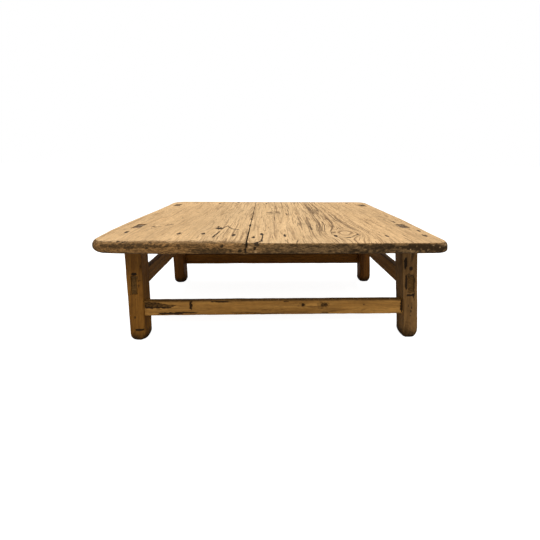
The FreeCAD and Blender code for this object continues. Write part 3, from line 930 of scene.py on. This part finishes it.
def bar_marks(points, normals, ragged, seed, marks, mortises):
    """Depth and darkness of the marks on a bar, and of the wear round its mortises."""
    moved = (points + 1.6 * shaken(points, 9, seed + 5)).T
    depth, dirt = np.zeros(len(points)), np.zeros(len(points))
    face, spots = marks
    first, second = FACES[face][2]
    for *middle, half_a, half_b, sunk, darkness in spots:
        mark = blot(moved[first], moved[second], middle, (half_a, half_b), 0.6 * ragged)
        depth, dirt = marked(depth, dirt, mark * facing(normals, face), sunk, darkness)
    for faces, low, high in mortises:
        for face in faces:
            first, second = FACES[face][2]
            hole = rectangle(points[:, first], points[:, second], low, high, HOLE_RIM) * facing(normals, face)
            depth, dirt = marked(depth, dirt, hole, 0.5, 0.95)
    return depth, dirt


def bar_fields(points, normals, along, seed, tone=PLAIN, marks=NO_MARKS, mortises=(),
               top_grime=0.0, floor_grime=0.0):
    """Depth of the marks on a bar, and what its material reads."""
    others = [axis for axis in range(3) if axis != along]
    flow = points[:, [others[0], along, others[1]]]
    wander = 3.0 * rough(flow, (30, 160, 30), seed)
    flow = flow + np.stack([wander, np.zeros(len(wander)), wander], -1)
    grooves = smooth(noise(flow, (5.5, 130, 5.5), seed + 1), 0.30, 0.75)
    stains = smooth(rough(flow, (16, 90, 16), seed + 4), 0.15, 0.8)
    ragged = rough(flow, (4.5, 9, 4.5), seed + 7)
    depth, dirt = bar_marks(points, normals, ragged, seed, marks, mortises)
    depth = depth + 0.35 * grooves + 0.45 * rough(points, (38, 38, 38), seed + 2)
    depth = depth + 0.15 * noise(points, (8, 8, 8), seed + 3)
    soiled = np.maximum(0.30 * grooves, 0.34 * stains) + 0.10 * rough(flow, (7, 26, 7), seed + 12)
    height = points[:, 2]
    # Upper faces and the top few millimetres of the sides are made darker, mixed towards the grime colour and
    # with a lower tone.
    upper = 0.8 * smooth(height, height.max() - 6, height.max() - 2)
    upper = np.maximum(smooth(normals[:, 2], 0.1, 0.5), upper)
    darker_on_top = (top_grime + 0.2 * rough(flow, (9, 40, 9), seed + 8)) * upper * (top_grime > 0)
    # Darker towards the floor, mixed towards the grime colour.
    low_down = 1 - smooth(height + 9 * rough(points, (12, 12, 20), seed + 13), 2, DARKENING_HEIGHT)
    dirt = np.maximum.reduce([dirt, soiled, darker_on_top, floor_grime * low_down])
    run = points[:, along]
    near_end = np.minimum(run - run.min(), run.max() - run) < END_DEPTH
    end = smooth(np.abs(normals[:, along]), 0.55, 0.9) * near_end
    edge = smooth(1 - np.abs(normals).max(axis=1), 0.04, 0.22)
    wear = edge * np.clip(0.30 + 0.55 * rough(points, (26, 26, 26), seed + 9), 0, 1)
    depth = depth + 0.6 * edge * np.clip(rough(points, (22, 22, 22), seed + 10), -0.2, 1)
    shade = (1 + 0.13 * rough(flow, (22, 140, 22), seed + 11)) * (1 - 1.2 * top_grime * upper)
    # Tint, with painted shade on the rear legs and the rear and side stretchers, left off the end grain.
    tint = 1 + (np.array(tone) - 1) * (1 - end)[:, None]
    fields = {"grain": flow / METRE, "dirt": np.clip(dirt, 0, 1),
              "tone": np.clip(shade, 0.1, 1.5)[:, None] * tint,
              "wear": np.clip(wear * (1 - dirt), 0, 1), "end": end}
    return depth, fields


def finish_bar(name, node, slot, skin, along, seed, **looks):
    """A worn piece from a plain skin."""
    points, faces = skin
    normals = normals_of(points, faces)
    depth, fields = bar_fields(points, normals, along, seed, **looks)
    points = points - normals * depth[:, None]
    points[:, 2] = np.maximum(points[:, 2], 0)
    make_piece(name, node, slot, points, faces, fields)


def near_floor(z):
    """1 at the foot, falling to 0 where its wear ends."""
    return 1 - smooth(z, FOOT_REACH, 3 * FOOT_REACH)


def foot_radius(rect, side):
    """Radius of a foot's edge from a place on it: the outer side is worn rounder."""
    def radius(x, y):
        outward = (2 * x - rect[0] - rect[1]) / (rect[1] - rect[0]) * (-1 if side == "left" else 1)
        rearward = (y - rect[2]) / (rect[3] - rect[2])
        inner = FOOT_INNER[side] * (1 + 0.6 * rearward)
        outer = ((1 + outward) / 2) ** 6
        return inner + (FOOT_OUTER[side] - inner) * outer + 0.8 * flat_noise(x, y, (24, 24), 81)
    return radius


def leg_corners(side, z):
    """The legs' inner edges are rounder near the floor."""
    rounder = (FOOT_CORNER[side] - LEG_EDGE) * near_floor(z)
    front, rear = LEG_EDGE + rounder, LEG_EDGE + 0.4 * rounder
    return (LEG_EDGE, front, rear, LEG_EDGE) if side == "left" else (front, LEG_EDGE, LEG_EDGE, rear)


def fine_edge(x, _):
    """The small radius of a tenon's or rail's end, all the way round."""
    return np.full(x.shape, TENON_EDGE)


def leg_mortises(side, end):
    """Corners of a leg's mortises: across and up for the side tenon, back and up for the long one."""
    wedge_low, wedge_high = box_mm("stretcher_wedge_" + end + "_" + side)
    rail_low, _ = box_mm(side + "_stretcher")
    side_low = np.array([wedge_low[0] - SIDE_MORTISE_GAP, rail_low[2] + SIDE_TENON_SHOULDER - TENON_EDGE])
    side_high = np.array([wedge_high[0] + SIDE_MORTISE_GAP, wedge_high[2] + TENON_EDGE])
    rail_low, rail_high = box_mm(end + "_stretcher")
    shoulder = np.array([LONG_TENON_CHEEK, LONG_TENON_SHOULDER]) - LONG_MORTISE_GAP
    return (side_low, side_high), (rail_low[1:] + shoulder, rail_high[1:] - shoulder)


def leg_rings(side, end, rect, levels):
    """Rings from a leg's worn foot through the levels of its shaft to the end of its tenon."""
    rings = edge_rings(rect, leg_corners(side, 0), 0, -1, foot_radius(rect, side))[::-1]
    rings += [level(rect, leg_corners(side, z), z) for z in levels]
    low, high = tenon_box(side, end)
    tenon, small = (low[0], high[0], low[1], high[1]), [TENON_EDGE] * 4
    rings += [level(tenon, small, UNDERSIDE + share * (TOP - UNDERSIDE)) for share in TENON_LEVELS]
    return rings + edge_rings(tenon, small, TOP - TOP_TENON_RECESS, 1, fine_edge)


def leaned(points, side, rect):
    """A leg's points moved onto its leaning, tapering sides, which flare inwards near the floor."""
    x, y, z = points.T
    inner, outer = leg_faces(side, z)
    share = (x - rect[0]) / LEG_WIDTH
    middle = 1 - (2 * (y - rect[2]) / (rect[3] - rect[2]) - 1) ** 2
    flare = FOOT_FLARE[side] * near_floor(z) * middle
    moved = np.minimum(inner, outer) + share * np.abs(outer - inner)
    moved = moved + (flare * share if side == "left" else -flare * (1 - share))
    return np.stack([moved, y, z], -1)


def leg(side, end, seed):
    """One leg, with its mortises cut through, its worn foot and its tenon in the top."""
    place = end + "_" + side
    low, high = box_mm("leg_" + place)
    across, back = (low[0], low[0] + LEG_WIDTH), (low[1], high[1])
    rect = (*across, *back)
    (side_low, side_high), (long_low, long_high) = leg_mortises(side, end)
    left, right = sorted(leg_faces(side, (side_low[1] + side_high[1]) / 2))
    cuts = [low[0] + LEG_WIDTH * (x - left) / (right - left) for x in (side_low[0], side_high[0])]
    cheeks = (long_low[0], long_high[0])
    u, v = lines(*across, BAR_STEP_ROUND, cuts), lines(*back, BAR_STEP_ROUND, cheeks)
    shaft = (SHAFT_START * FOOT_OUTER[side], UNDERSIDE)
    heights = (long_low[1], long_high[1], side_low[1], side_high[1])
    shares = lines(*shaft, BAR_STEP_ALONG, heights)
    rings = leg_rings(side, end, rect, shaft[0] + shares * (shaft[1] - shaft[0]))
    i = [index_of(u, *across, cut) for cut in cuts]
    j = [ARC_STEPS + 1 + index_of(shares, *shaft, height) for height in heights]
    k = [index_of(v, *back, cheek) for cheek in cheeks]
    points, faces = loft(u, v, rings, (("front", "rear", (*i, *j[2:])), ("right", "left", (*k, *j[:2]))))
    tip = high[1] if end == "front" else low[1]
    sloped = rectangle(points[:, 0], points[:, 1], (cuts[0], tip - 1), (cuts[1], tip + 1), TENON_EDGE)
    sloped = sloped * (1 - smooth(np.abs(points[:, 2] - side_high[1]), 0, 3 * WEDGE_RISE))
    points[:, 2] -= WEDGE_RISE * sloped
    mortises = ((("front", "rear"), side_low, side_high), (("left", "right"), long_low, long_high))
    finish_bar("worn_leg_" + place, "leg_" + place, "leg_wood", (leaned(points, side, rect), faces), 2, seed,
               tone=LEG_TONES_AND_SHADE[place], marks=LEG_MARKS[place], mortises=mortises, floor_grime=FOOT_DARKENING)


def straight(rect, edge, places):
    return [level(rect, edge, place) for place in places]


def bar_rings(rail, tenon, shoulders, ends):
    """Rings of a bar between two shoulders, with a tenon at each end."""
    small, edge = [TENON_EDGE] * 4, [STRETCHER_EDGE] * 4
    count = max(round((shoulders[1] - shoulders[0]) / BAR_STEP_ALONG), 2)
    rings = edge_rings(tenon, small, ends[0], -1, fine_edge)[::-1]
    rings += straight(tenon, small, np.linspace(ends[0] + TENON_EDGE, shoulders[0], TENON_RINGS)[1:])
    rings += plain_rings(rail, edge, shoulders, count)
    rings += straight(tenon, small, np.linspace(shoulders[1], ends[1] - TENON_EDGE, TENON_RINGS)[:-1])
    return rings + edge_rings(tenon, small, ends[1], 1, fine_edge)


def plain_rings(rect, edge, ends, count):
    """Rings of a straight bar with fine edges at both ends."""
    rings = edge_rings(rect, edge, ends[0], -1, fine_edge)[::-1]
    rings += straight(rect, edge, np.linspace(ends[0] + TENON_EDGE, ends[1] - TENON_EDGE, count)[1:-1])
    return rings + edge_rings(rect, edge, ends[1], 1, fine_edge)


def section_lines(rect):
    return lines(*rect[:2], BAR_STEP_ROUND), lines(*rect[2:], BAR_STEP_ROUND)


def stretcher(place, along, skin, seed):
    finish_bar("worn_stretcher_" + place, place + "_stretcher", "stretcher_wood", skin, along, seed,
               tone=STRETCHER_TONES_AND_SHADE[place], marks=STRETCHER_MARKS[place], top_grime=RAIL_TOP_DARKENING)


def long_stretcher(end, seed):
    """Stretcher along the width, sheared so that its shoulders follow the legs' lean."""
    low, high = box_mm(end + "_stretcher")
    middle = (low[2] + high[2]) / 2
    left_inner, left_outer = leg_faces("left", middle)
    right_inner, right_outer = leg_faces("right", middle)
    rail = (low[1], high[1], low[2], high[2])
    tenon = (low[1] + LONG_TENON_CHEEK, high[1] - LONG_TENON_CHEEK,
             low[2] + LONG_TENON_SHOULDER, high[2] - LONG_TENON_SHOULDER)
    ends = (left_outer + TENON_RECESS, right_outer - TENON_RECESS)
    points, faces = loft(*section_lines(rail), bar_rings(rail, tenon, (left_inner, right_inner), ends))
    points = points[:, [2, 0, 1]]
    points[:, 0] -= LEAN_RATE * (points[:, 2] - middle)
    stretcher(end, 0, (points, faces), seed)


def side_stretcher(side, seed):
    """Stretcher along the depth, with its tenon ends on the legs' front and rear faces."""
    low, high = box_mm(side + "_stretcher")
    wedge_low, wedge_high = box_mm("stretcher_wedge_front_" + side)
    rail = (low[2], high[2], low[0], high[0])
    tenon = (low[2] + SIDE_TENON_SHOULDER, high[2] - SIDE_TENON_SHOULDER, wedge_low[0], wedge_high[0])
    shoulders = (low[1] + LEG_DEPTH, high[1] - LEG_DEPTH)
    ends = (low[1] + TENON_RECESS, high[1] - TENON_RECESS)
    points, faces = loft(*section_lines(rail), bar_rings(rail, tenon, shoulders, ends))
    stretcher(side, 1, (points[:, [1, 2, 0]], faces), seed)


def batten(end, seed):
    """Batten under the top, along its width."""
    low, high = box_mm(end + "_batten")
    rect = (low[1], high[1], low[2], high[2])
    count = round((high[0] - low[0]) / (2 * BAR_STEP_ALONG))
    rings = plain_rings(rect, [STRETCHER_EDGE] * 4, (low[0], high[0]), count)
    points, faces = loft(*section_lines(rect), rings)
    finish_bar("worn_batten_" + end, end + "_batten", "batten_wood", (points[:, [2, 0, 1]], faces), 0, seed)


WEDGE_TIP = 1.2
WEDGE_EDGE = 0.5
WEDGE_INSET = 0.4
WEDGE_STEP = 2.0
WEDGE_RINGS = 9
WEDGE_LINES = 6


def tapered(thick_low, thick_high, wide, ends):
    """Wedge whose thickness, a pair of edges, changes evenly from one end to the other."""
    rings = []
    small = [WEDGE_EDGE] * 4
    for share in np.linspace(0, 1, WEDGE_RINGS):
        thin = [a + (b - a) * share for a, b in zip(thick_low, thick_high)]
        rings.append(level((*thin, *wide), small, ends[0] + (ends[1] - ends[0]) * share))
    return loft(np.linspace(0, 1, WEDGE_LINES), lines(*wide, WEDGE_STEP), rings)


def leg_wedge(side, end, seed):
    """Wedge across a leg's tenon, its worn head a little below the top."""
    place = end + "_" + side
    low, high = box_mm("leg_wedge_" + place)
    middle = (low[1] + high[1]) / 2
    points, faces = tapered((middle - WEDGE_TIP / 2, middle + WEDGE_TIP / 2), (low[1], high[1]),
                            (-high[0] + WEDGE_INSET, -low[0] - WEDGE_INSET), (low[2], high[2] - TENON_RECESS))
    points = np.stack([-points[:, 1], points[:, 0], points[:, 2]], -1)
    finish_bar("worn_leg_wedge_" + place, "leg_wedge_" + place, "wedge_wood", (points, faces), 2, seed)


def side_wedge(side, end, seed):
    """Wedge above a side stretcher's tenon, its thick end outwards."""
    place = end + "_" + side
    low, high = box_mm("stretcher_wedge_" + place)
    thick = [(low[2], high[2]), (low[2], low[2] + WEDGE_TIP)]
    span = [low[1] + TENON_RECESS, high[1]]
    if end == "rear":
        thick.reverse()
        span = [low[1], high[1] - TENON_RECESS]
    points, faces = tapered(*thick, (low[0] + WEDGE_INSET, high[0] - WEDGE_INSET), span)
    skin = points[:, [1, 2, 0]], faces
    finish_bar("worn_stretcher_wedge_" + place, "stretcher_wedge_" + place, "wedge_wood", skin, 1, seed)


NAIL_SHANK = 1.8
NAIL_HEAD = 4.0
NAIL_HEAD_THICKNESS = 1.6
NAIL_SUNK = 0.9
NAIL_POINT = 0.25
NAIL_ROUNDING = 0.75
NAIL_HAMMERED = 0.35
NAIL_TURN = 0.7
NAIL_LINES = 7
# Half width and depth as shares: of the shank and the length, then of the head and its thickness
SHANK_SHAPE = ((0.6, 0.8), (1.0, 0.4))
HEAD_SHAPE = ((0.92, 1.0), (1.0, 0.6), (0.9, 0.25), (0.55, 0.0))


def nail(place, length, turn):
    """One forged nail: a square shank and a hammered head."""
    head = place[2] - NAIL_SUNK
    profile = [(NAIL_POINT, head - length)]
    profile += [(NAIL_SHANK * wide, head - length * deep) for wide, deep in SHANK_SHAPE]
    profile += [(NAIL_SHANK, head - NAIL_HEAD_THICKNESS)]
    profile += [(NAIL_HEAD * wide, head - NAIL_HEAD_THICKNESS * deep) for wide, deep in HEAD_SHAPE]
    rings = [level((-half, half) * 2, [half * NAIL_ROUNDING] * 4, height) for half, height in profile]
    grid = np.linspace(0, 1, NAIL_LINES)
    points, faces = loft(grid, grid, rings)
    cos, sin = math.cos(turn), math.sin(turn)
    x, y, z = points.T
    points = np.stack([place[0] + cos * x - sin * y, place[1] + sin * x + cos * y, z], -1)
    upper = np.clip((z - head + 2 * NAIL_HEAD_THICKNESS) / NAIL_HEAD_THICKNESS, 0, 1)
    return points + (NAIL_HAMMERED * upper)[:, None] * shaken(points, 3, 91), faces


def nails(end):
    """The nails through one batten, as one piece."""
    node = end + "_batten_nails"
    low, high = box_mm(node)
    all_points, all_faces, count = [], [], 0
    for index, place in enumerate(NAILS[end]):
        points, faces = nail(place, high[2] - low[2] - NAIL_SUNK, NAIL_TURN * index)
        all_points.append(points)
        all_faces.append(faces + count)
        count += len(points)
    points, faces = np.concatenate(all_points), np.concatenate(all_faces)
    make_piece("forged_nails_" + end, node, "nail_iron", points, faces, {"grain": points / METRE})


# Where each kind of piece begins in the noise, and the step from one piece to the next
SEEDS = {"leg": 200, "leg_wedge": 400, "side_wedge": 500,
         "long_stretcher": 600, "batten": 700, "side_stretcher": 800}
SEED_STEP = 20
for number, (end, side) in enumerate((end, side) for end in ("front", "rear") for side in ("left", "right")):
    step = SEED_STEP * number
    leg(side, end, SEEDS["leg"] + step)
    leg_wedge(side, end, SEEDS["leg_wedge"] + step)
    side_wedge(side, end, SEEDS["side_wedge"] + step)
for number, end in enumerate(("front", "rear")):
    long_stretcher(end, SEEDS["long_stretcher"] + SEED_STEP * number)
    batten(end, SEEDS["batten"] + SEED_STEP * number)
    nails(end)
for number, side in enumerate(("left", "right")):
    side_stretcher(side, SEEDS["side_stretcher"] + SEED_STEP * number)

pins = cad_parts["board_pins"].data
pins.materials.clear()
pins.materials.append(MATERIALS["pin_bamboo"])


# Floor, light and camera

FLOOR_HALF = 30.0
FLOOR_GLOW = 0.92
FLOOR_GREY = 0.5
FLOOR_ROUGHNESS = 0.9
SKY_LIGHT = 0.30
# Camera: frame, focal length and principal point in pixels; pitch, yaw and roll; place; sensor in mm
PIXELS = 540.0
FOCAL = 290.0
PRINCIPAL = (276.6, 172.7)
CAMERA_TURN = (0.0417, 0.0322, 0.0077)
CAMERA_PLACE = (-0.0116, -1.034, 0.5327)
SENSOR_WIDTH = 36.0
CLIP_START = 0.01
# Lights: place, target, size, power
LIGHTS = {"overhead": ((0.0, 0.1, 2.6), (0, 0, 0.3), (3.0, 2.4), 58.0),
          "front": ((0.1, -2.3, 1.85), (0, 0, 0.2), (2.0, 0.6), 30.0)}


def camera_ray(tree):
    return tree.nodes.new("ShaderNodeLightPath").outputs["Is Camera Ray"]


def floor():
    """Pale floor that stays white to the eye and throws little light back up under the table."""
    mesh = bpy.data.meshes.new("floor")
    corners = [(FLOOR_HALF * x, FLOOR_HALF * y, 0) for x, y in ((-1, -1), (1, -1), (1, 1), (-1, 1))]
    mesh.from_pydata(corners, [], [(0, 1, 2, 3)])
    material, tree, shader = tree_of("pale_floor")
    feed(tree, (FLOOR_GREY,) * 3, shader.inputs["Base Color"])
    feed(tree, FLOOR_ROUGHNESS, shader.inputs["Roughness"])
    feed(tree, 0.0, shader.inputs["Specular IOR Level"])
    feed(tree, (1, 1, 1), shader.inputs["Emission Color"])
    glow = arithmetic(tree, "MULTIPLY", camera_ray(tree), FLOOR_GLOW)
    feed(tree, glow, shader.inputs["Emission Strength"])
    mesh.materials.append(material)
    add("floor", mesh)


def area_light(name, place, target, size, power):
    data = bpy.data.lights.new(name, "AREA")
    data.shape = "RECTANGLE"
    data.size, data.size_y = size
    data.energy = power
    aim = Vector(target) - Vector(place)
    turn = aim.to_track_quat("-Z", "Y").to_matrix().to_4x4()
    add(name, data).matrix_world = Matrix.Translation(place) @ turn


def sky():
    """Even white surroundings that light the table less than they show."""
    world = bpy.data.worlds.new("studio")
    bpy.context.scene.world = world
    world.use_nodes = True
    tree = world.node_tree
    background = tree.nodes["Background"]
    feed(tree, (1, 1, 1), background.inputs["Color"])
    feed(tree, arithmetic(tree, "MAXIMUM", camera_ray(tree), SKY_LIGHT), background.inputs["Strength"])


def camera():
    """Camera at the photograph's place."""
    data = bpy.data.cameras.new("camera")
    data.sensor_width = SENSOR_WIDTH
    data.lens = SENSOR_WIDTH * FOCAL / PIXELS
    data.shift_x = (PIXELS / 2 - PRINCIPAL[0]) / PIXELS
    data.shift_y = (PRINCIPAL[1] - PIXELS / 2) / PIXELS
    data.clip_start = CLIP_START
    pitch, yaw, roll = CAMERA_TURN
    forward = np.array([math.sin(yaw) * math.cos(pitch), math.cos(yaw) * math.cos(pitch), -math.sin(pitch)])
    right = np.array([math.cos(yaw), -math.sin(yaw), 0])
    up = np.cross(right, forward)
    across = math.cos(roll) * right + math.sin(roll) * up
    upright = -math.sin(roll) * right + math.cos(roll) * up
    turn = Matrix(np.stack([across, upright, -forward], -1).tolist()).to_4x4()
    eye = add("camera", data)
    eye.matrix_world = Matrix.Translation(CAMERA_PLACE) @ turn
    bpy.context.scene.camera = eye


floor()
sky()
for name, numbers in LIGHTS.items():
    area_light(name, *numbers)
camera()
bpy.context.scene.view_settings.view_transform = "Standard"
